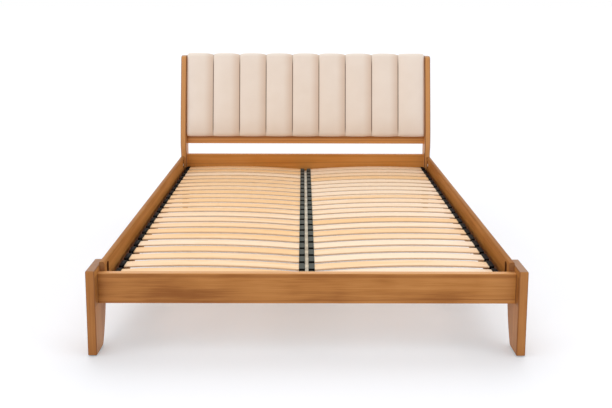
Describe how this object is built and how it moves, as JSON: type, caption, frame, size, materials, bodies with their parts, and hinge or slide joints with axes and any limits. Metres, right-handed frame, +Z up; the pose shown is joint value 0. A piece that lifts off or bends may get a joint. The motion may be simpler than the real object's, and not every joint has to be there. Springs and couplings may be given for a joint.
{
  "type": "double bed",
  "caption": "Double bed frame with curved plank legs, a leaning headboard with a channelled upholstered panel, and sprung slats held in plastic caps.",
  "frame": {"origin": "on the floor, under the middle of the bounding box", "axes": "+X to the right seen from the foot, +Y from the foot end to the headboard, +Z up"},
  "size_m": [1.738, 2.2564, 1.048],
  "materials": {
    "stained_wood": "satin clear lacquer over a warm brown stain",
    "plain_wood": "unstained, sanded",
    "slat_birch": "bent birch laminate, smooth",
    "zinc_steel": "zinc plated",
    "insert_brass": "plain",
    "pad_fabric": "smooth woven beige upholstery",
    "cap_plastic": "moulded, matt",
    "glide_plastic": "moulded, matt"
  },
  "bodies": {
    "root": {"headboard_post_left": "stained_wood", "headboard_post_right": "stained_wood", "headboard_lower_rail": "stained_wood", "headboard_upper_rail": "stained_wood", "foot_leg_left": "stained_wood", "foot_leg_right": "stained_wood", "foot_rail": "stained_wood", "side_rail_left": "stained_wood", "side_rail_right": "stained_wood", "side_ledge_left": "stained_wood", "side_ledge_right": "stained_wood", "centre_leg": "stained_wood", "headboard_top_rail": "plain_wood", "headboard_board": "plain_wood", "dowels": "plain_wood", "centre_beam": "slat_birch", "slat_pair_01": "slat_birch", "slat_pair_02": "slat_birch", "slat_pair_03": "slat_birch", "slat_pair_04": "slat_birch", "slat_pair_05": "slat_birch", "slat_pair_06": "slat_birch", "slat_pair_07": "slat_birch", "slat_pair_08": "slat_birch", "slat_pair_09": "slat_birch", "slat_pair_10": "slat_birch", "slat_pair_11": "slat_birch", "slat_pair_12": "slat_birch", "slat_pair_13": "slat_birch", "slat_pair_14": "slat_birch", "slat_pair_15": "slat_birch", "slat_pair_16": "slat_birch", "slat_pair_17": "slat_birch", "slat_pair_18": "slat_birch", "slat_pair_19": "slat_birch", "slat_pair_20": "slat_birch", "slat_pair_21": "slat_birch", "slat_pair_22": "slat_birch", "beam_hanger_foot": "zinc_steel", "beam_hanger_head": "zinc_steel", "centre_leg_bolt": "zinc_steel", "bed_bolts": "zinc_steel", "half_moon_washers": "zinc_steel", "bolt_nuts": "zinc_steel", "ledge_screws": "zinc_steel", "hanger_screws": "zinc_steel", "board_screws": "zinc_steel", "insert_nuts": "insert_brass", "headboard_pad": "pad_fabric", "floor_glides": "glide_plastic", "side_caps_left": "cap_plastic", "side_caps_right": "cap_plastic", "centre_caps_left": "cap_plastic", "centre_caps_right": "cap_plastic"}
  },
  "joints": []
}
